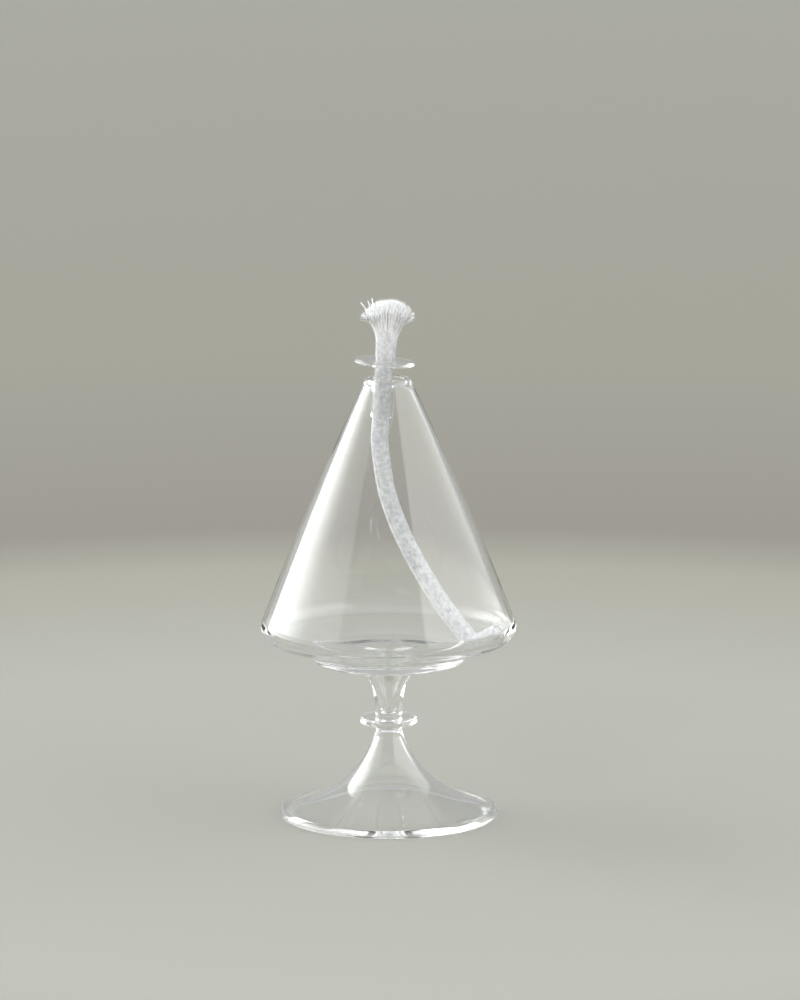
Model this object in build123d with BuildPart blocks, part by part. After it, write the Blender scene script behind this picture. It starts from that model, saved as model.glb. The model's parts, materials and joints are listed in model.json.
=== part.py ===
from build123d import *
from math import cos, pi, radians, sin, tan
import os

# Oil lamp of clear lampworked glass: a conical reservoir on a stem, knop and trumpet foot,
# with a loose glass wick holder and a braided wick that stands in the reservoir.
# Millimetres, +Z up, origin at the centre of the ring on which the foot rests.

# Reservoir: a blown cone with a round shoulder and a shallow puck under its floor.
cone_foot = (43.4, 70.0)  # (radius, height) where the cone meets the shoulder
cone_belly = (27.9, 108.0)  # the cone's side is very slightly bowed
cone_half_angle = radians(23)
lip_corner = (7.7, 153.9)
lip_bore = 6.0
lip_round = 0.8
lip_land = 1.0  # depth of the straight bore in the fire-polished lip
throat = (7.1, 151.3)  # where the bore has opened out to the cone's inner wall
shoulder_corner = (46.0, 63.8)  # where cone and underside would meet without rounding
shoulder_round = 5.2
shoulder_wall = 1.75
inner_shoulder_round = 3.8
puck_corner = (27.2, 57.3)
puck_corner_round = 0.8
puck_radius = 26.0
puck_round = 2.2
puck_height = 54.6
cone_wall = 1.5
floor_wall = 1.7
bowl_corner = (22.0, 57.0)
bowl_round = 45.0

# Stem: a short thick-walled tube that flares into the puck.
stem_foot_height = 35.1
stem_outside = [(4.7, 36.0), (4.9, 39.6), (5.4, 43.6), (6.6, 47.8), (8.3, 51.0)]
stem_top_radius = 10.6
stem_bore = [(2.15, 37.4), (2.8, 43.0), (3.8, 47.4), (5.2, 51.0)]
stem_bore_top = 7.2
stem_bore_foot = 35.9

# Knop: a solid disc pressed in the hot glass between stem and foot.
knop_radius = 9.95
knop_thickness = 2.4
knop_round = 0.9

# Foot: a drawn trumpet with a thin plate and a thick rolled rim.
foot_top_height = stem_foot_height - knop_thickness
foot_side = [(4.3, 31.4), (5.7, 26.8), (8.3, 21.6), (12.0, 16.5), (17.6, 11.1), (25.2, 6.7)]
foot_plate_edge = (34.9, 2.15)
foot_top_radius = 4.2
foot_wall = 1.5
foot_roof = 2.2  # glass between the top of the foot's hollow and the knop
bore_stations = (0.12, 0.3, 0.5, 0.7, 0.85, 1)  # fractions of the side's length
bead_radius = 1.55
bead_ring_radius = 36.2
bead_height = 1.5  # a little under bead_radius, so the rim rests on a narrow flat ring

# Wick holder: an 8 mm tube with a disc sealed round its top end, tilted in the mouth.
holder_top = (-1.01, 0, 159.8)  # centre of the disc's upper face
holder_tilt = radians(4.1)
tube_outer_radius = 4.0
tube_bore_radius = 3.2
tube_length = 19.6
flange_radius = 10.6
flange_thickness = 0.8
flange_round = 0.36

# Wick: a braided jacket over a core of parallel yarns, frayed out at the top.
wick_radius = 3.1
core_radius = 2.1
neck_above_holder = 5.4
neck_below_holder = 24.2
tuft_side = [(3.4, 8.0), (4.5, 11.0), (6.6, 14.0), (8.9, 16.6), (9.3, 18.2), (7.4, 20.7)]
tuft_height = 22.3
arc_share = 0.45  # of the shorter run at a corner of the wick's route, taken up by its arc
wick_free_run = 4.1  # first run of the free wick, still in line with the holder
wick_corners = [
    (-2.05, -0.1, 123.2),
    (-0.4, -0.3, 112.6),
    (6.2, -1.2, 95.6),
    (18.0, -3.0, 75.6),
    (29.2, -4.5, 62.9),
    (37.5, -9.8, 67.4),
]

holder_axis = Vector(sin(holder_tilt), 0, cos(holder_tilt))
holder_across = Vector(cos(holder_tilt), 0, -sin(holder_tilt))


def along_holder(distance):
    """Point on the holder's axis, measured up from the top face of its disc."""
    return Vector(*holder_top) + holder_axis * distance


def holder_section(distance):
    """Plane square to the holder's axis."""
    return Plane(origin=along_holder(distance), x_dir=holder_across, z_dir=holder_axis)


def round_corner(sketch, point, radius):
    """Round the corner of the sketch that lies nearest to the point."""
    fillet(sketch.vertices().sort_by_distance((point[0], point[1], 0))[0], radius)


def arc_radii(points):
    """Radius of the arc at each corner of a route: as large as its two runs allow."""
    radii = []
    for before, corner, after in zip(points, points[1:], points[2:]):
        run_in = Vector(*corner) - Vector(*before)
        run_out = Vector(*after) - Vector(*corner)
        half_turn = radians(run_in.get_angle(run_out) / 2)
        radii.append(arc_share * min(run_in.length, run_out.length) / tan(half_turn))
    return radii


def finish(piece, name):
    piece.part.label = name
    export_step(piece.part, f"parts/{name}.step")


os.makedirs("parts", exist_ok=True)

with BuildPart() as reservoir:
    level_wall = cone_wall / cos(cone_half_angle)  # the cone's wall, measured level
    inner_foot = (cone_foot[0] - level_wall, cone_foot[1])
    inner_belly = (cone_belly[0] - level_wall, cone_belly[1])
    inner_shoulder = (shoulder_corner[0] - shoulder_wall, shoulder_corner[1] + floor_wall)
    with BuildSketch(Plane.XZ) as wall:
        with BuildLine():
            Polyline((0, puck_height), (puck_radius, puck_height), puck_corner, shoulder_corner, cone_foot)
            ThreePointArc(cone_foot, cone_belly, lip_corner)
            Polyline(lip_corner, (lip_bore, lip_corner[1]), (lip_bore, lip_corner[1] - lip_land), throat)
            ThreePointArc(throat, inner_belly, inner_foot)
            Polyline(inner_foot, inner_shoulder, bowl_corner, (0, bowl_corner[1]))
            Line((0, bowl_corner[1]), (0, puck_height))
        make_face()
        round_corner(wall, (puck_radius, puck_height), puck_round)
        round_corner(wall, puck_corner, puck_corner_round)
        round_corner(wall, shoulder_corner, shoulder_round)
        round_corner(wall, lip_corner, lip_round)
        round_corner(wall, (lip_bore, lip_corner[1]), lip_round)
        round_corner(wall, inner_shoulder, inner_shoulder_round)
        round_corner(wall, bowl_corner, bowl_round)
    revolve(axis=Axis.Z)
finish(reservoir, "reservoir")

with BuildPart() as stem:
    with BuildSketch(Plane.XZ):
        with BuildLine():
            Line((0, stem_foot_height), (stem_outside[0][0], stem_foot_height))
            Line((stem_outside[0][0], stem_foot_height), stem_outside[0])
            Spline(*stem_outside, (stem_top_radius, puck_height))
            Line((stem_top_radius, puck_height), (stem_bore_top, puck_height))
            bore_line = [(stem_bore_top, puck_height), *reversed(stem_bore), (0, stem_bore_foot)]
            Spline(*bore_line, tangents=[(-0.5, -1), (-1, 0)])
            Line((0, stem_bore_foot), (0, stem_foot_height))
        make_face()
    revolve(axis=Axis.Z)
finish(stem, "stem")

with BuildPart() as stem_knop:
    with BuildSketch(Plane.XY.offset(foot_top_height)):
        Circle(knop_radius)
    extrude(amount=knop_thickness)
    fillet(stem_knop.edges().filter_by(GeomType.CIRCLE), knop_round)
finish(stem_knop, "stem_knop")

with BuildPart() as foot:
    with BuildSketch(Plane.XZ) as foot_half:
        with BuildLine():
            side = Spline((foot_top_radius, foot_top_height), *foot_side, foot_plate_edge)
            bore_points = [side @ t - (side % t).rotate(Axis.Z, 90) * foot_wall for t in bore_stations]
            Line((foot_top_radius, foot_top_height), (0, foot_top_height))
            bore = Spline((0, foot_top_height - foot_roof), *bore_points)
            Line(bore @ 0, (0, foot_top_height))
            Line(bore @ 1, side @ 1)
        make_face()
        with Locations((bead_ring_radius, bead_height)):
            Circle(bead_radius)
        with Locations((bead_ring_radius, -bead_radius)):
            Rectangle(4 * bead_radius, 2 * bead_radius, mode=Mode.SUBTRACT)
    revolve(axis=Axis.Z)
finish(foot, "foot")

with BuildPart() as holder_tube:
    with BuildSketch(holder_section(-tube_length)):
        Circle(tube_outer_radius)
        Circle(tube_bore_radius, mode=Mode.SUBTRACT)
    extrude(amount=tube_length)
finish(holder_tube, "holder_tube")

with BuildPart() as holder_flange:
    with BuildSketch(holder_section(-flange_thickness)):
        Circle(flange_radius)
    extrude(amount=flange_thickness)
    fillet(holder_flange.edges().filter_by(GeomType.CIRCLE), flange_round)
    with BuildSketch(holder_section(-flange_thickness)):
        Circle(tube_outer_radius)
    extrude(amount=flange_thickness, mode=Mode.SUBTRACT)
finish(holder_flange, "holder_flange")

with BuildPart() as wick_jacket_upper:
    with BuildSketch(holder_section(-neck_below_holder)):
        Circle(wick_radius)
        Circle(core_radius, mode=Mode.SUBTRACT)
    extrude(amount=neck_below_holder + neck_above_holder)
finish(wick_jacket_upper, "wick_jacket_upper")

with BuildPart() as wick_core_upper:
    with BuildSketch(holder_section(-neck_below_holder)):
        Circle(core_radius)
    extrude(amount=neck_below_holder + neck_above_holder)
finish(wick_core_upper, "wick_core_upper")

with BuildPart() as wick_tuft:
    with BuildSketch(Plane(origin=along_holder(0), x_dir=holder_across, z_dir=(0, -1, 0))):
        with BuildLine():
            Line((0, neck_above_holder), (wick_radius, neck_above_holder))
            Spline((wick_radius, neck_above_holder), *tuft_side, (0, tuft_height), tangents=[(0, 1), (-1, 0)])
            Line((0, tuft_height), (0, neck_above_holder))
        make_face()
    revolve(axis=Axis(along_holder(0), holder_axis))
finish(wick_tuft, "wick_tuft")

# The free wick: straight runs joined by tangent arcs, from the neck to its cut end.
wick_start = along_holder(-neck_below_holder)
first_corner = along_holder(-neck_below_holder - wick_free_run)
wick_route = [tuple(wick_start), tuple(first_corner), *wick_corners]
wick_radii = arc_radii(wick_route)
with BuildLine() as wick_path:
    FilletPolyline(*wick_route, radius=wick_radii)
free_wick = wick_path.wire()
free_length = free_wick.length
swept_volume = pi * core_radius**2 * free_length

with BuildPart() as wick_jacket_lower:
    with BuildSketch(Plane(origin=wick_start, x_dir=holder_across, z_dir=-holder_axis)):
        Circle(wick_radius)
        Circle(core_radius, mode=Mode.SUBTRACT)
    sweep(path=free_wick)
finish(wick_jacket_lower, "wick_jacket_lower")

with BuildPart() as wick_core_lower:
    with BuildSketch(Plane(origin=wick_start, x_dir=holder_across, z_dir=-holder_axis)):
        Circle(core_radius)
    sweep(path=free_wick)
finish(wick_core_lower, "wick_core_lower")

print("arc radii of the free wick, mm:", [round(radius, 1) for radius in wick_radii])
print("free wick length, mm:", round(free_length, 1))
print("core volume over section times length:", round(wick_core_lower.part.volume / swept_volume, 4))
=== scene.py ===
import json
import math
import random

import bmesh
import bpy
from mathutils import Matrix, Vector


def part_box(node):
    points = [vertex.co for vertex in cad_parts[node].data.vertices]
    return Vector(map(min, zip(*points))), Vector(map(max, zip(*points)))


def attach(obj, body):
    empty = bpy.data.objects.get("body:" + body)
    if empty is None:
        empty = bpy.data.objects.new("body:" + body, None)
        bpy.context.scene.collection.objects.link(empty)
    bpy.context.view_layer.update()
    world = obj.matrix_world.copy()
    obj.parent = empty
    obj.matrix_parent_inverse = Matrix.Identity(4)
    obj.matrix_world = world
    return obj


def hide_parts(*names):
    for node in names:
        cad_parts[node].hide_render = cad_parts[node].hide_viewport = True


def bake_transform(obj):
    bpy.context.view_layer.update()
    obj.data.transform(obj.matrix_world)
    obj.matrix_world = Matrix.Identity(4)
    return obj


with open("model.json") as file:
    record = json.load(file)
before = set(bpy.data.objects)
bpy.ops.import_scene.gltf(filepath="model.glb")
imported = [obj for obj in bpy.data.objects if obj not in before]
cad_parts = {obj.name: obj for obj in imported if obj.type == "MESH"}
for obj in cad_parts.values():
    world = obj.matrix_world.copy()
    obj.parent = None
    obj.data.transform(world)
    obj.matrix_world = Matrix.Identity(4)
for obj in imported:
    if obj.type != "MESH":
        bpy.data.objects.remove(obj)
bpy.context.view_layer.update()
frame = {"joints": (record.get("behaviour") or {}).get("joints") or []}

MM = 0.001
GLASS, SEAL = 0, 1  # a seal is a face where two sections are melted together
SHARP_ANGLE = 32  # degrees

# ---------------------------------------------------------------- places, from the frame
LIFT = next(j for j in frame["joints"] if j["name"] == "wick_lift")
AXIS = Vector(LIFT["axis"]).normalized()
ACROSS = AXIS.cross(Vector((0, 1, 0))).normalized() * -1
HOLDER_TOP = Vector((-1.01, 0, 159.8)) * MM
FOOT_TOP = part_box("stem_knop")[0].z
KNOP_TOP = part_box("stem_knop")[1].z
PUCK_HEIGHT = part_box("reservoir")[0].z
LIP_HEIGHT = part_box("reservoir")[1].z


# ---------------------------------------------------------------- named sizes, mm unless said
# The reservoir's outline: (radius, height, rounding)
CONE_FOOT, CONE_BELLY, LIP = (43.4, 70.0), (27.9, 108.0), (7.7, LIP_HEIGHT / MM)
SHOULDER, PUCK_CORNER, PUCK_EDGE = (45.84, 63.8, 5.2), (27.2, 57.3, 0.8), (26.0, PUCK_HEIGHT / MM, 2.2)
LIP_BORE, LIP_ROUND, LIP_LAND, LIP_FLARE = 6.0, 0.8, 1.0, 0.35
THROAT, THROAT_START = (7.1, 151.3), 1.7
CONE_WALL, FLOOR_WALL, SHOULDER_WALL = 1.63, 1.7, 2.3  # measured level, upright and level
INNER_SHOULDER_ROUND = SHOULDER[2] - 1.4
BOWL = (22.0, 57.0, 45.0)
CONE_RIPPLE, FOOT_RIPPLE = 0.00006, 0.00004  # metres
STEM_TOP_RADIUS, STEM_BORE_TOP, STEM_FOOT_RADIUS = 10.6, 7.2, 4.7
STEM_SIDE = [(4.7, 36.0), (4.9, 39.6), (5.4, 43.6), (6.6, 47.8), (8.3, 51.0)]
STEM_BORE = [(5.2, 51.0), (3.8, 47.4), (2.8, 43.0), (2.15, 37.4), (1.2, 36.1), (0, 35.9)]
KNOP_RADIUS, KNOP_ROUND = 9.95, 0.9
FOOT_TOP_RADIUS, FOOT_WALL = 4.2, 1.5
FOOT_SIDE = [(4.3, 31.4), (5.7, 26.8), (8.3, 21.6), (12.0, 16.5), (17.6, 11.1), (25.2, 6.7), (34.9, 2.15)]
BORE_TIP, FOOT_ROOF, BORE_TOP = 0.8, 2.4, 2.1
BEAD, BEAD_RING, BEAD_HEIGHT = 1.55, 36.2, 1.5
# Round the bead, in degrees: over its top and outside, flat where it stands, and up inside
BEAD_TURN = [148 - 8.6 * n for n in range(26)] + [-75.4, -104.6] + [-112 - 9 * n for n in range(6)]
TUBE_RADIUS, TUBE_BORE, TUBE_LENGTH = 4.0, 3.2, 19.6
INNER_EDGE, OUTER_EDGE, BEVEL = 0.3, 0.38, 0.25
FLANGE_RADIUS, FLANGE_THICK, FLANGE_ROUND = 10.6, 0.8, 0.36

# The wick. NECK_STATIONS are distances along the holder's axis, up from its top.
NECK_STATIONS = [11.0, -5.0, -16.0, -24.2, -28.3]
WICK_CORNERS = [
    (-2.05, -0.1, 123.2),
    (-0.4, -0.3, 112.6),
    (6.2, -1.2, 95.6),
    (18.0, -3.0, 75.6),
    (25.6, -4.1, 66.0),
    (29.6, -5.2, 61.4),
    (33.0, -7.6, 63.6),
    (37.6, -10.2, 66.6),
]
WICK_RADIUS = 3.1 * MM
BRAID_STRANDS, BRAID_LAY, BRAID_STEPS = 16, 19.0 * MM, 270
YARN, YARN_PITCH, YARN_FLAT = 0.43 * MM, 0.43 * MM * 0.92, 0.76
BRAID_DEPTH, WEAVE_DEPTH, YARN_WOBBLE = 0.40 * MM, 0.18 * MM, 0.035 * MM
FUZZ_WIDTH = 0.06 * MM
CORE_RINGS, CORE_YARN_WIDTH, CORE_STEPS = ((0.85, 6), (1.65, 11)), 1.0 * MM, 110
FUZZ, TUFT_YARNS, TUFT_FIBRES = 1500, 900, 900
TUFT_BASE, TUFT_REACH, TUFT_TOP = 6.4, 9.3, 20.9
GOLDEN_ANGLE, STRAY_SHARE = 2.39996, 0.84
# (direction round the axis in half turns, reach, height, width)
STRAY_YARNS = [(0.985, 9.5, 19.6, 0.5), (1.06, 7.4, 20.6, 0.42), (0.93, 6.0, 21.2, 0.45)]

FLOOR_RADIUS, FLOOR_FADE, FLOOR_SIDES = 9.0, 5.0, 96  # metres, metres
# (distance from the lamp in metres, colour)
TABLE_TONES = [
    (0.0, (0.362, 0.362, 0.327)),
    (0.25, (0.384, 0.382, 0.346)),
    (0.45, (0.335, 0.328, 0.280)),
    (0.53, (0.252, 0.238, 0.212)),
    (0.95, (0.295, 0.287, 0.246)),
    (2.4, (0.325, 0.321, 0.283)),
]
# Brightness of the room all round, in degrees to the right of the camera, and of its ceiling
BRIGHTEST = 8.0
WALL_LIGHT = [
    (-180, 0.45), (-142, 0.6), (-139, 5.2), (-113, 5.2), (-104, 4.2), (-96, 3.0), (-86, 1.8), (-76, 1.45),
    (-57, 1.15), (-51, 1.1), (-48.5, 0.28), (36, 0.28), (38.5, 2.1), (80, 1.9), (139, 1.3), (142, 0.45),
    (180, 0.45),
]
CEILING = 0.8
CEILING_SHARE = [(-90, 0), (42, 0), (54, 8), (90, 8)]
LIGHT_COLOUR = (0.985, 1.0, 1.0)
FRONT_WATTS, FRONT_SIZE = 31.0, 1.1
FRONT_PLACE, FRONT_AIM = (-1.0, -2.1, 1.7), (0, 0, 0.12)
CAMERA_PLACE, CAMERA_AIM = (0, -2.5, 0.5809), (0.0041, 0, 0.1112)
CAMERA_LENS, CAMERA_ROLL = 265.8, -0.13  # mm, degrees
LIGHT_BOUNCES = 48


def along_holder(distance):
    """Point on the holder's axis, in metres, measured up from the top of its disc."""
    return HOLDER_TOP + AXIS * distance


# ---------------------------------------------------------------- node helpers
def add(tree, kind, **values):
    """A new node of this kind; values are its settings, such as operation."""
    node = tree.nodes.new(kind)
    for name, value in values.items():
        setattr(node, name, value)
    return node


def material(name):
    """An empty material, its node tree and its output node."""
    made = bpy.data.materials.new(name)
    made.use_nodes = True
    made.node_tree.nodes.clear()
    return made, made.node_tree, made.node_tree.nodes.new("ShaderNodeOutputMaterial")


# ---------------------------------------------------------------- materials
def glass_material():
    """Clear flame-worked glass, with the faint ripple of hot-worked walls."""
    made, tree, out = material("clear_glass")
    link = tree.links.new
    shader = add(tree, "ShaderNodeBsdfPrincipled")
    shader.inputs["Base Color"].default_value = (0.995, 0.998, 0.995, 1)
    shader.inputs["Roughness"].default_value = 0.0
    shader.inputs["IOR"].default_value = 1.474
    shader.inputs["Transmission Weight"].default_value = 1.0
    place = add(tree, "ShaderNodeNewGeometry")
    ripple = add(tree, "ShaderNodeTexNoise")
    ripple.inputs["Scale"].default_value = 90.0
    ripple.inputs["Detail"].default_value = 1.0
    bump = add(tree, "ShaderNodeBump")
    bump.inputs["Strength"].default_value = 0.12
    bump.inputs["Distance"].default_value = 0.0004
    link(place.outputs["Position"], ripple.inputs["Vector"])
    link(ripple.outputs["Fac"], bump.inputs["Height"])
    link(bump.outputs["Normal"], shader.inputs["Normal"])
    clear = add(tree, "ShaderNodeBsdfTransparent")
    clear.inputs["Color"].default_value = (0.98, 0.985, 0.98, 1)
    path = add(tree, "ShaderNodeLightPath")
    mix = add(tree, "ShaderNodeMixShader")
    link(path.outputs["Is Shadow Ray"], mix.inputs[0])
    link(shader.outputs[0], mix.inputs[1])
    link(clear.outputs[0], mix.inputs[2])
    link(mix.outputs[0], out.inputs["Surface"])
    return made


def seal_material():
    """Where two sections are melted into one there is no surface left to see."""
    made, tree, out = material("melted_seal")
    clear = add(tree, "ShaderNodeBsdfTransparent")
    tree.links.new(clear.outputs[0], out.inputs["Surface"])
    return made


def yarn_material(name, colour, shade):
    """Matte white yarn with fine fibres, laid over at random with darker, cooler blotches of painted shade.
    """
    made, tree, out = material(name)
    link = tree.links.new
    shader = add(tree, "ShaderNodeBsdfPrincipled")
    shader.inputs["Roughness"].default_value = 0.85
    shader.inputs["Sheen Weight"].default_value = 0.7
    shader.inputs["Sheen Roughness"].default_value = 0.4
    place = add(tree, "ShaderNodeNewGeometry")
    # Noise that blends the yarn towards its darker colour: painted shade of the braid's gaps, laid at
    # random.
    shade_blotches = add(tree, "ShaderNodeTexNoise")
    shade_blotches.inputs["Scale"].default_value = 700.0
    shade_blotches.inputs["Detail"].default_value = 4.0
    ramp = add(tree, "ShaderNodeValToRGB")
    ramp.color_ramp.elements[0].position = 0.3
    ramp.color_ramp.elements[0].color = (*shade, 1)
    ramp.color_ramp.elements[1].position = 0.62
    ramp.color_ramp.elements[1].color = (*colour, 1)
    fibre = add(tree, "ShaderNodeTexNoise")
    fibre.inputs["Scale"].default_value = 5200.0
    fibre.inputs["Detail"].default_value = 2.0
    bump = add(tree, "ShaderNodeBump")
    bump.inputs["Strength"].default_value = 0.5
    bump.inputs["Distance"].default_value = 0.00008
    link(place.outputs["Position"], shade_blotches.inputs["Vector"])
    link(place.outputs["Position"], fibre.inputs["Vector"])
    link(shade_blotches.outputs["Fac"], ramp.inputs["Fac"])
    link(ramp.outputs["Color"], shader.inputs["Base Color"])
    link(fibre.outputs["Fac"], bump.inputs["Height"])
    link(bump.outputs["Normal"], shader.inputs["Normal"])
    link(shader.outputs[0], out.inputs["Surface"])
    return made


# ---------------------------------------------------------------- round glass
def rounded(corners, steps=10):
    """Outline through corners (radius, height, rounding): each rounding becomes a tangent arc."""
    points = []
    for k, corner in enumerate(corners):
        here = Vector(corner[:2])
        size = corner[2] if len(corner) > 2 else 0
        if not size or k in (0, len(corners) - 1):
            points.append(tuple(here))
            continue
        back = (Vector(corners[k - 1][:2]) - here).normalized()
        on = (Vector(corners[k + 1][:2]) - here).normalized()
        half = back.angle(on) / 2
        reach = size / math.tan(half)
        centre = here + (back + on).normalized() * (size / math.sin(half))
        start, end = here + back * reach - centre, here + on * reach - centre
        sweep = start.angle(end)
        for n in range(steps + 1):
            t = n / steps
            spoke = (start * math.sin((1 - t) * sweep) + end * math.sin(t * sweep)) / math.sin(sweep)
            points.append(tuple(centre + spoke))
    return points


def smooth_line(points, steps=8):
    """Catmull-Rom curve through the points."""
    ends = [Vector(points[0]) * 2 - Vector(points[1])]
    ends += [Vector(p) for p in points]
    ends += [Vector(points[-1]) * 2 - Vector(points[-2])]
    line = []
    for a, b, c, d in zip(ends, ends[1:], ends[2:], ends[3:]):
        for n in range(steps):
            t = n / steps
            line.append(tuple(0.5 * (2 * b + (c - a) * t + (2 * a - 5 * b + 4 * c - d) * t**2
                                     + (3 * b - a - 3 * c + d) * t**3)))
    line.append(tuple(points[-1]))
    return line


def bowed(start, middle, end, steps=40):
    """Slightly bowed line from start to end whose curve passes through middle."""
    a, m, b = Vector(start), Vector(middle), Vector(end)
    t_mid = (m - a).length / ((m - a).length + (b - m).length)
    pull = (m - a * (1 - t_mid) ** 2 - b * t_mid**2) / (2 * t_mid * (1 - t_mid))
    return [tuple(a * (1 - t) ** 2 + pull * (2 * t * (1 - t)) + b * t * t) for t in
            (n / steps for n in range(steps + 1))]


def ripple_of(size, seed):
    """Hand-worked unevenness: a few slow waves round and along the wall."""
    rng = random.Random(seed)
    waves = [(rng.randint(1, 4), rng.uniform(60, 190), rng.uniform(0, math.tau), rng.uniform(0.4, 1.0))
             for _ in range(5)]

    def ripple(angle, radius, height):
        total = sum(part * math.sin(n * angle + pitch * height + phase) for n, pitch, phase, part in waves)
        return size * total / len(waves) * min(1, radius / 0.006)

    return ripple


def lathe(name, stretches, closed=False, turns=224, place=None):
    """Turn stretches of outline, each (points in mm, face kind, ripple), into one round solid."""
    outline, kinds, waves = [], [], []
    for points, kind, ripple in stretches:
        for point in points[:-1]:
            outline.append(point)
            kinds.append(kind)
            waves.append(ripple)
    if not closed:
        outline.append(stretches[-1][0][-1])
        waves.append(None)
    vertices, rings = [], []
    for (radius, height), wave in zip(outline, waves):
        radius, height = radius * MM, height * MM
        if radius < 1e-7:
            rings.append([len(vertices)])
            vertices.append((0, 0, height))
            continue
        rings.append(list(range(len(vertices), len(vertices) + turns)))
        for n in range(turns):
            angle = math.tau * n / turns
            r = radius + (wave(angle, radius, height) if wave else 0)
            vertices.append((r * math.cos(angle), r * math.sin(angle), height))
    faces, face_kinds = [], []
    pairs = list(zip(rings, rings[1:])) + ([(rings[-1], rings[0])] if closed else [])
    for (low, high), kind in zip(pairs, kinds):
        for n in range(turns):
            m = (n + 1) % turns
            if len(low) == 1 and len(high) == 1:
                continue
            if len(low) == 1:
                faces.append((low[0], high[m], high[n]))
            elif len(high) == 1:
                faces.append((low[n], low[m], high[0]))
            else:
                faces.append((low[n], low[m], high[m], high[n]))
            face_kinds.append(kind)
    mesh = bpy.data.meshes.new(name)
    mesh.from_pydata(vertices, [], faces)
    mesh.polygons.foreach_set("use_smooth", [True] * len(faces))
    mesh.materials.append(CLEAR)
    if SEAL in face_kinds:
        mesh.materials.append(MELTED)
        mesh.polygons.foreach_set("material_index", face_kinds)
    piece = bpy.data.objects.new(name, mesh)
    bpy.context.collection.objects.link(piece)
    if place:
        mesh.transform(place)
    turn_outward(mesh)
    return piece


def turn_outward(mesh):
    """Point every face out of the glass, and keep real edges sharp."""
    work = bmesh.new()
    work.from_mesh(mesh)
    bmesh.ops.recalc_face_normals(work, faces=work.faces)
    work.to_mesh(mesh)
    work.free()
    mesh.set_sharp_from_angle(angle=math.radians(SHARP_ANGLE))


def dress(piece, body, slot, *nodes):
    """Hide the CAD nodes the piece stands for and put the piece on the body it rides on; slot is not used.
    """
    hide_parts(*nodes)
    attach(piece, body)
    return piece


def reservoir():
    """The blown cone with its lip, its shoulder and the puck under its floor."""
    puck = PUCK_HEIGHT / MM
    outer = rounded([(STEM_TOP_RADIUS, puck), PUCK_EDGE, PUCK_CORNER, SHOULDER, CONE_FOOT], 14)
    side = bowed(CONE_FOOT, CONE_BELLY, (LIP[0] + LIP_FLARE, LIP[1] - LIP_LAND))
    bore_corner = (LIP_BORE, LIP[1], LIP_ROUND)
    lip = rounded([side[-1], (*LIP, LIP_ROUND), bore_corner, (LIP_BORE, LIP[1] - LIP_LAND)], 12)
    throat_line = smooth_line([lip[-1], (LIP_BORE + LIP_FLARE, LIP[1] - THROAT_START), THROAT], 8)
    inner_foot = (CONE_FOOT[0] - CONE_WALL, CONE_FOOT[1])
    inside = bowed(THROAT, (CONE_BELLY[0] - CONE_WALL, CONE_BELLY[1]), inner_foot)
    inner_shoulder = (SHOULDER[0] - SHOULDER_WALL, SHOULDER[1] + FLOOR_WALL, INNER_SHOULDER_ROUND)
    floor = rounded([inner_foot, inner_shoulder, BOWL, (0, BOWL[1])], 24)
    return lathe("reservoir_glass", [
        ([(0, puck), (STEM_BORE_TOP, puck)], GLASS, None),
        ([(STEM_BORE_TOP, puck), (STEM_TOP_RADIUS, puck)], SEAL, None),
        (outer, GLASS, None),
        (side, GLASS, None),
        (lip, GLASS, None),
        (throat_line, GLASS, None),
        (inside, GLASS, ripple_of(CONE_RIPPLE, 3)),
        (floor, GLASS, None),
    ])


def stem():
    """Thick-walled tube that flares into the puck."""
    foot, top = KNOP_TOP / MM, PUCK_HEIGHT / MM
    outside = [(STEM_FOOT_RADIUS, foot)] + smooth_line([*STEM_SIDE, (STEM_TOP_RADIUS, top)])
    bore = smooth_line([(STEM_BORE_TOP, top), *STEM_BORE])
    return lathe("stem_glass", [
        ([(0, foot), (STEM_FOOT_RADIUS, foot)], SEAL, None),
        (outside, GLASS, None),
        ([(STEM_TOP_RADIUS, top), (STEM_BORE_TOP, top)], SEAL, None),
        (bore, GLASS, None),
    ], turns=96)


def stem_knop():
    """Solid disc between stem and foot."""
    low, high = FOOT_TOP / MM, KNOP_TOP / MM
    rim = rounded([(FOOT_TOP_RADIUS, low), (KNOP_RADIUS, low, KNOP_ROUND), (KNOP_RADIUS, high, KNOP_ROUND),
                   (STEM_FOOT_RADIUS, high)], 10)
    return lathe("stem_knop_glass", [
        ([(0, low), (FOOT_TOP_RADIUS, low)], SEAL, None),
        (rim, GLASS, None),
        ([(STEM_FOOT_RADIUS, high), (0, high)], SEAL, None),
    ], turns=160)


def offset_inward(line, wall):
    """The line moved inward, square to itself, by the wall's thickness."""
    moved = []
    for before, here, after in zip(line, line[1:], line[2:]):
        run = (Vector(after) - Vector(before)).normalized()
        moved.append((here[0] + run.y * wall, here[1] - run.x * wall))
    return moved


def foot():
    """Drawn trumpet, hollow underneath, that ends in a thick rolled rim."""
    top = FOOT_TOP / MM
    side = smooth_line([(FOOT_TOP_RADIUS, top), *FOOT_SIDE], 10)
    bore = [p for p in offset_inward(side, FOOT_WALL) if p[0] > BORE_TIP and p[1] < top - FOOT_ROOF]
    bead = []
    for angle in BEAD_TURN:
        turn = math.radians(angle)
        bead.append((BEAD_RING + BEAD * math.cos(turn), BEAD_HEIGHT + BEAD * math.sin(turn)))
    under = smooth_line([bead[-1], *reversed(bore[::3]), (0, top - BORE_TOP)], 3)
    return lathe("foot_glass", [
        ([(0, top), (FOOT_TOP_RADIUS, top)], SEAL, None),
        (side + bead, GLASS, None),
        (under, GLASS, ripple_of(FOOT_RIPPLE, 11)),
    ])


def holder_place():
    """Where the holder stands: its own axes, from the centre of its disc's top face."""
    place = Matrix((ACROSS, Vector((0, 1, 0)), AXIS)).transposed().to_4x4()
    place.translation = HOLDER_TOP
    return place


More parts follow.
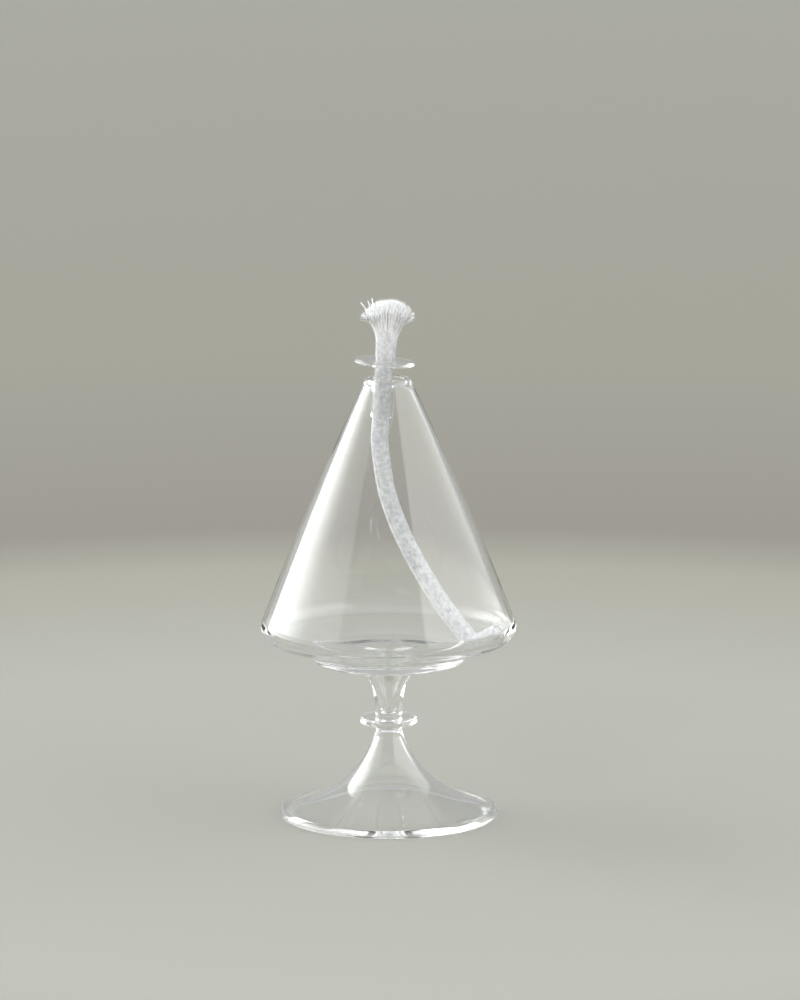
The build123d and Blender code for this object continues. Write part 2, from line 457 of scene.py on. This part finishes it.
def holder_tube():
    """The holder's tube, with melted edges at both ends of its bore."""
    outer, inner, low = TUBE_RADIUS, TUBE_BORE, -TUBE_LENGTH
    ends = [(inner, low + 2), (inner, low, INNER_EDGE), (outer, low, OUTER_EDGE), (outer, -FLANGE_THICK)]
    return lathe("holder_tube_glass", [
        (rounded(ends, 8), GLASS, None),
        ([(outer, -FLANGE_THICK), (outer, 0)], SEAL, None),
        ([(outer, 0), (inner + BEVEL, 0), (inner, -BEVEL), (inner, low + 2)], GLASS, None),
    ], closed=True, turns=96, place=holder_place())


def holder_flange():
    """The thin disc round the tube's top end."""
    rim = rounded([(TUBE_RADIUS, 0), (FLANGE_RADIUS, 0, FLANGE_ROUND),
                   (FLANGE_RADIUS, -FLANGE_THICK, FLANGE_ROUND), (TUBE_RADIUS, -FLANGE_THICK)], 10)
    return lathe("holder_flange_glass", [
        (rim, GLASS, None),
        ([(TUBE_RADIUS, -FLANGE_THICK), (TUBE_RADIUS, 0)], SEAL, None),
    ], closed=True, turns=160, place=holder_place())


# ---------------------------------------------------------------- the wick
def wick_points():
    """The wick's line: points read from a smooth spline through the holder and down to the floor."""
    held = [along_holder(d * MM) for d in NECK_STATIONS]
    route = held + [Vector(p) * MM for p in WICK_CORNERS]
    curve = bpy.data.curves.new("wick_line", "CURVE")
    curve.dimensions = "3D"
    curve.resolution_u = 40
    spline = curve.splines.new("NURBS")
    spline.points.add(len(route) - 1)
    for point, place in zip(spline.points, route):
        point.co = (*place, 1)
    spline.order_u = 3
    spline.use_endpoint_u = True
    guide = bpy.data.objects.new("wick_line", curve)
    line = bpy.data.meshes.new_from_object(guide)
    points = [v.co.copy() for v in line.vertices]
    bpy.data.objects.remove(guide)
    return points


class Route:
    """A line with a frame at every distance along it, carried without twist."""

    def __init__(self, points):
        self.points = points
        self.reach = [0.0]
        for a, b in zip(points, points[1:]):
            self.reach.append(self.reach[-1] + (b - a).length)
        self.length = self.reach[-1]
        self.ways, self.sides = [], []
        side = ACROSS
        for k in range(len(points)):
            way = (points[min(k + 1, len(points) - 1)] - points[max(k - 1, 0)]).normalized()
            side = (side - way * side.dot(way)).normalized()
            self.ways.append(way)
            self.sides.append(side)
        self.at = 0

    def frame(self, distance):
        """Place, direction and the two ways square to it at a distance along the line."""
        while self.at > 0 and self.reach[self.at] > distance:
            self.at -= 1
        while self.at < len(self.points) - 2 and self.reach[self.at + 1] < distance:
            self.at += 1
        k = self.at
        t = (distance - self.reach[k]) / (self.reach[k + 1] - self.reach[k])
        way = self.ways[k].lerp(self.ways[k + 1], t).normalized()
        side = self.sides[k].lerp(self.sides[k + 1], t).normalized()
        return self.points[k].lerp(self.points[k + 1], t), way, side, way.cross(side)

    def spot(self, distance, angle, radius):
        """Point beside the line, and the way straight out of the line there."""
        centre, _, side, up = self.frame(distance)
        out = side * math.cos(angle) + up * math.sin(angle)
        return centre + out * radius, out


class Threads:
    """Collects thin tubes into one mesh."""

    def __init__(self):
        self.vertices, self.faces = [], []

    def tube(self, points, width, outs=None, flat=1.0, sides=5, taper=0.0):
        """A tube along points. flat squeezes it towards the line that outs point away from."""
        first = len(self.vertices)
        last = len(points) - 1
        for k, here in enumerate(points):
            way = (points[min(k + 1, last)] - points[max(k - 1, 0)]).normalized()
            out = outs[k] if outs else way.orthogonal()
            out = (out - way * out.dot(way)).normalized()
            across = way.cross(out)
            size = width / 2 * (1 - taper * (k / last) ** 2)
            for n in range(sides):
                turn = math.tau * n / sides
                self.vertices.append(here + (out * (flat * math.sin(turn)) + across * math.cos(turn)) * size)
        for k in range(last):
            a = first + k * sides
            for n in range(sides):
                m = (n + 1) % sides
                self.faces.append((a + n, a + m, a + sides + m, a + sides + n))
        self.faces.append(tuple(first + n for n in reversed(range(sides))))
        self.faces.append(tuple(first + last * sides + n for n in range(sides)))

    def make(self, name, look):
        mesh = bpy.data.meshes.new(name)
        mesh.from_pydata([tuple(v) for v in self.vertices], [], self.faces)
        mesh.polygons.foreach_set("use_smooth", [True] * len(self.faces))
        mesh.materials.append(look)
        piece = bpy.data.objects.new(name, mesh)
        bpy.context.collection.objects.link(piece)
        return piece


def swell(distance):
    """How much wider the braid is than in the tube: it opens above the disc, and more near its end."""
    above = (NECK_STATIONS[0] * MM - distance) / MM
    opened = min(1, max(0, (above + 0.3) / 2.6))
    frayed = min(1, max(0, above / NECK_STATIONS[0]))
    return 1 + 0.14 * opened * opened * (3 - 2 * opened) + 0.22 * frayed**2


def jacket(route):
    """Braid of two sets of strands, each over two and under two, in chevron columns."""
    threads = Threads()
    rng = random.Random(5)
    apart = YARN_PITCH / math.sqrt(2)
    for turn_way in (1, -1):
        for strand in range(BRAID_STRANDS):
            wobble = rng.uniform(0, math.tau)
            for yarn in (-0.5, 0.5):
                points, outs = [], []
                for k in range(BRAID_STEPS + 1):
                    s = route.length * k / BRAID_STEPS
                    crossing = 2 * BRAID_STRANDS * s / BRAID_LAY
                    angle = math.tau * (strand / BRAID_STRANDS + turn_way * s / BRAID_LAY)
                    weave = math.sin(math.pi / 2 * (2 * strand + turn_way * crossing + 0.5)) * turn_way
                    weave = max(-1, min(1, 1.4 * weave))
                    across = yarn * apart / WICK_RADIUS
                    along = -yarn * apart * turn_way
                    radius = (WICK_RADIUS - BRAID_DEPTH) * swell(s) + WEAVE_DEPTH * weave
                    radius += YARN_WOBBLE * math.sin(s * 900 + wobble + yarn)
                    here, out = route.spot(min(max(s + along, 0), route.length), angle + across, radius)
                    points.append(here)
                    outs.append(out)
                threads.tube(points, YARN * 1.02, outs, flat=YARN_FLAT)
    for _ in range(FUZZ):
        s = rng.uniform(0.02, 0.99) * route.length
        here, out = route.spot(s, rng.uniform(0, math.tau), WICK_RADIUS * swell(s) - 0.15 * MM)
        _, way, _, _ = route.frame(s)
        lean = (out + way * rng.uniform(-1.2, 1.2) + out.cross(way) * rng.uniform(-1, 1)).normalized()
        reach = rng.uniform(0.25, 0.9) * MM
        tip = here + lean * reach
        bend = here.lerp(tip, 0.55) + out * reach * 0.12
        threads.tube([here, bend, tip], FUZZ_WIDTH, sides=3, taper=0.5)
    return threads.make("wick_jacket", SHADED_JACKET_YARN)


def core(route):
    """Bundle of parallel yarns inside the braid, ending just short of it."""
    threads = Threads()
    rng = random.Random(8)
    end = route.length - 0.1 * MM
    spots = [(0, 0)]
    for ring, count in CORE_RINGS:
        spots += [(ring * MM, math.tau * n / count + ring) for n in range(count)]
    for radius, start in spots:
        points = []
        wave = rng.uniform(0, math.tau)
        for k in range(CORE_STEPS + 1):
            s = end * k / CORE_STEPS
            angle = start + 0.3 * math.sin(s * 60 + wave)
            points.append(route.spot(s, angle, radius)[0])
        threads.tube(points, CORE_YARN_WIDTH, sides=6)
    return threads.make("wick_core", BRIGHTENED_YARN)


def tuft():
    """Frayed top: yarns that leave the braid, spread and end on an uneven dome."""
    threads = Threads()
    rng = random.Random(21)
    place = holder_place()

    def put(radius, angle, height):
        return place @ (Vector((radius * math.cos(angle), radius * math.sin(angle), height)) * MM)

    def strand(share, angle, reach, top, width, taper=0.1, steps=11):
        start = 3.0 * share**0.8
        throat = 4.9 * share * (1 - 0.2 * math.sin(angle) ** 2) + 0.1
        a, b = Vector((start, TUFT_BASE - 1.5)), Vector((start * 1.22, TUFT_BASE + 3.2))
        c = Vector((throat, TUFT_BASE + 8.2 - 1.1 * share))
        d = Vector((reach, top))
        wave, turn = rng.uniform(0, math.tau), rng.uniform(-0.12, 0.12)
        line = []
        for k in range(steps + 1):
            t = k / steps
            p = a * (1 - t) ** 3 + b * (3 * t * (1 - t) ** 2) + c * (3 * t * t * (1 - t)) + d * t**3
            wiggle = 0.13 * t * math.sin(9 * t + wave)
            line.append(put(p.x + wiggle, angle + turn * t + 0.02 * math.cos(7 * t + wave), p.y))
        threads.tube(line, width * MM, sides=5, taper=taper)

    def dome(share, angle):
        """Reach and height of a yarn's end: a fan, wide from side to side and its left rim lower."""
        left, deep = -math.cos(angle), math.sin(angle) ** 2
        reach = TUFT_REACH * share * (1 - 0.44 * deep)
        top = TUFT_TOP - (4.6 - 2.2 * deep) * share**3.4
        if left > 0:
            top -= left * (1.0 * share + 0.5 * share**3)
        return reach, top

    for n in range(TUFT_YARNS):
        share = math.sqrt((n + 0.5) / TUFT_YARNS)
        angle = n * GOLDEN_ANGLE + rng.uniform(-0.1, 0.1)
        reach, top = dome(share, angle)
        strand(share, angle, reach * (1 + rng.uniform(-0.05, 0.03)), top + rng.uniform(-0.9, 0.25),
               rng.uniform(0.36, 0.50))
    for side, reach, top, width in STRAY_YARNS:
        strand(STRAY_SHARE, math.pi * side, reach, top, width)
    for _ in range(TUFT_FIBRES):
        share = math.sqrt(rng.uniform(0.1, 1))
        angle = rng.uniform(0, math.tau)
        reach, top = dome(share, angle)
        strand(share, angle, reach + rng.uniform(-0.4, 0.5), top + rng.uniform(-1.5, 0.9), 0.13,
               taper=0.3, steps=8)
    return threads.make("wick_tuft_yarns", BRIGHTENED_YARN)


def wick():
    """Braid, core and frayed top, made on one line."""
    route = Route(wick_points())
    braid, bundle, top = jacket(route), core(route), tuft()
    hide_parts("wick_jacket_upper", "wick_jacket_lower")
    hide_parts("wick_core_upper", "wick_core_lower")
    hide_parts("wick_tuft")
    for piece in (braid, bundle):
        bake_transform(piece)
    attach(top, "wick")


# ---------------------------------------------------------------- stage, light and camera
def floor_material():
    """Pale matte table, a little darker and warmer far from the lamp."""
    made, tree, out = material("table")
    link = tree.links.new
    shader = add(tree, "ShaderNodeBsdfPrincipled")
    shader.inputs["Roughness"].default_value = 0.75
    shader.inputs["Specular IOR Level"].default_value = 0.15
    place = add(tree, "ShaderNodeNewGeometry")
    far = add(tree, "ShaderNodeVectorMath", operation="LENGTH")
    ramp = add(tree, "ShaderNodeValToRGB")
    scale = add(tree, "ShaderNodeMath", operation="DIVIDE")
    scale.inputs[1].default_value = FLOOR_FADE
    points = ramp.color_ramp.elements
    while len(points) < len(TABLE_TONES):
        points.new(0.5)
    for point, (distance, _) in zip(points, TABLE_TONES):
        point.position = distance / FLOOR_FADE
    for point, (_, colour) in zip(points, TABLE_TONES):
        point.color = (*colour, 1)
    grain = add(tree, "ShaderNodeTexNoise")
    grain.inputs["Scale"].default_value = 260.0
    grain.inputs["Detail"].default_value = 5.0
    bump = add(tree, "ShaderNodeBump")
    bump.inputs["Strength"].default_value = 0.05
    bump.inputs["Distance"].default_value = 0.0003
    link(place.outputs["Position"], far.inputs[0])
    link(far.outputs["Value"], scale.inputs[0])
    link(scale.outputs[0], ramp.inputs["Fac"])
    link(ramp.outputs["Color"], shader.inputs["Base Color"])
    link(place.outputs["Position"], grain.inputs["Vector"])
    link(grain.outputs["Fac"], bump.inputs["Height"])
    link(bump.outputs["Normal"], shader.inputs["Normal"])
    link(shader.outputs[0], out.inputs["Surface"])
    return made


def stage():
    """The table: one wide round sheet."""
    mesh = bpy.data.meshes.new("table")
    turns = [math.tau * n / FLOOR_SIDES for n in range(FLOOR_SIDES)]
    ring = [(FLOOR_RADIUS * math.cos(turn), FLOOR_RADIUS * math.sin(turn), 0) for turn in turns]
    mesh.from_pydata(ring, [], [tuple(range(FLOOR_SIDES))])
    mesh.materials.append(floor_material())
    table = bpy.data.objects.new("table", mesh)
    bpy.context.collection.objects.link(table)


def ramp_of(tree, value, low, high, stops):
    """Value from low to high, in degrees, turned into brightness by straight lines between stops."""
    span = add(tree, "ShaderNodeMapRange")
    span.inputs["From Min"].default_value = math.radians(low)
    span.inputs["From Max"].default_value = math.radians(high)
    tree.links.new(value, span.inputs["Value"])
    ramp = add(tree, "ShaderNodeValToRGB")
    points = ramp.color_ramp.elements
    while len(points) < len(stops):
        points.new(0.5)
    for point, (angle, _) in zip(points, stops):
        point.position = (angle - low) / (high - low)
    for point, (_, level) in zip(points, stops):
        point.color = (level / BRIGHTEST, level / BRIGHTEST, level / BRIGHTEST, 1)
    tree.links.new(span.outputs["Result"], ramp.inputs["Fac"])
    return ramp.outputs["Color"]


def studio():
    """Room light by direction: tall soft windows round the lamp, a paler ceiling, a dim front."""
    world = bpy.data.worlds.new("studio")
    world.use_nodes = True
    bpy.context.scene.world = world
    tree = world.node_tree
    tree.nodes.clear()
    link = tree.links.new
    out = tree.nodes.new("ShaderNodeOutputWorld")
    place = add(tree, "ShaderNodeTexCoord")
    parts = add(tree, "ShaderNodeSeparateXYZ")
    link(place.outputs["Generated"], parts.inputs[0])
    toward = add(tree, "ShaderNodeMath", operation="MULTIPLY")
    toward.inputs[1].default_value = -1.0
    link(parts.outputs["Y"], toward.inputs[0])
    azimuth = add(tree, "ShaderNodeMath", operation="ARCTAN2")
    link(parts.outputs["X"], azimuth.inputs[0])
    link(toward.outputs[0], azimuth.inputs[1])
    elevation = add(tree, "ShaderNodeMath", operation="ARCSINE")
    link(parts.outputs["Z"], elevation.inputs[0])
    walls = ramp_of(tree, azimuth.outputs[0], -180, 180, WALL_LIGHT)
    ceiling = ramp_of(tree, elevation.outputs[0], -90, 90, CEILING_SHARE)
    mix = add(tree, "ShaderNodeMixRGB")
    mix.inputs["Color2"].default_value = (CEILING / BRIGHTEST,) * 3 + (1,)
    link(ceiling, mix.inputs["Fac"])
    link(walls, mix.inputs["Color1"])
    tint = add(tree, "ShaderNodeMixRGB", blend_type="MULTIPLY")
    tint.inputs["Fac"].default_value = 1.0
    tint.inputs["Color2"].default_value = (*LIGHT_COLOUR, 1)
    link(mix.outputs[0], tint.inputs["Color1"])
    room = add(tree, "ShaderNodeBackground")
    room.inputs["Strength"].default_value = BRIGHTEST
    link(tint.outputs[0], room.inputs["Color"])
    link(room.outputs[0], out.inputs["Surface"])


def front_light():
    """Large soft lamp above and left of the camera, kept out of the glass and its reflections."""
    data = bpy.data.lights.new("front_light", "AREA")
    data.shape, data.size, data.energy = "DISK", FRONT_SIZE, FRONT_WATTS
    lamp = bpy.data.objects.new("front_light", data)
    bpy.context.collection.objects.link(lamp)
    lamp.location = FRONT_PLACE
    lamp.rotation_euler = (Vector(FRONT_AIM) - Vector(FRONT_PLACE)).to_track_quat("-Z", "Y").to_euler()
    lamp.visible_glossy = False
    lamp.visible_transmission = False
    lamp.visible_camera = False


def camera():
    """Long lens, a little above the lamp, turned very slightly about its own axis."""
    data = bpy.data.cameras.new("camera")
    data.lens = CAMERA_LENS
    data.sensor_width = 36
    data.clip_start, data.clip_end = 0.05, 60
    cam = bpy.data.objects.new("camera", data)
    bpy.context.collection.objects.link(cam)
    look = (Vector(CAMERA_AIM) - Vector(CAMERA_PLACE)).to_track_quat("-Z", "Y")
    roll = Matrix.Rotation(math.radians(CAMERA_ROLL), 3, "Z").to_quaternion()
    cam.location = CAMERA_PLACE
    cam.rotation_euler = (look @ roll).to_euler()
    bpy.context.scene.camera = cam


CLEAR = glass_material()
MELTED = seal_material()
# One white yarn in two copies: the jacket's is darker, with deeper blotches (painted shade); the core and
# tuft's is paler (painted light against the tuft's own shade).
SHADED_JACKET_YARN = yarn_material("wick_jacket_shaded_yarn", (0.90, 0.905, 0.915), (0.63, 0.635, 0.66))
BRIGHTENED_YARN = yarn_material("wick_brightened_yarn", (0.97, 0.975, 0.98), (0.86, 0.865, 0.88))

camera()
wick()
dress(reservoir(), "lamp", "clear_glass", "reservoir")
dress(stem(), "lamp", "clear_glass", "stem")
dress(stem_knop(), "lamp", "clear_glass", "stem_knop")
dress(foot(), "lamp", "clear_glass", "foot")
dress(holder_tube(), "holder", "clear_glass", "holder_tube")
dress(holder_flange(), "holder", "clear_glass", "holder_flange")
stage()
studio()
front_light()

scene = bpy.context.scene
scene.view_settings.view_transform = "Standard"
scene.cycles.max_bounces = LIGHT_BOUNCES
scene.cycles.transmission_bounces = LIGHT_BOUNCES
scene.cycles.transparent_max_bounces = LIGHT_BOUNCES
scene.cycles.glossy_bounces = LIGHT_BOUNCES
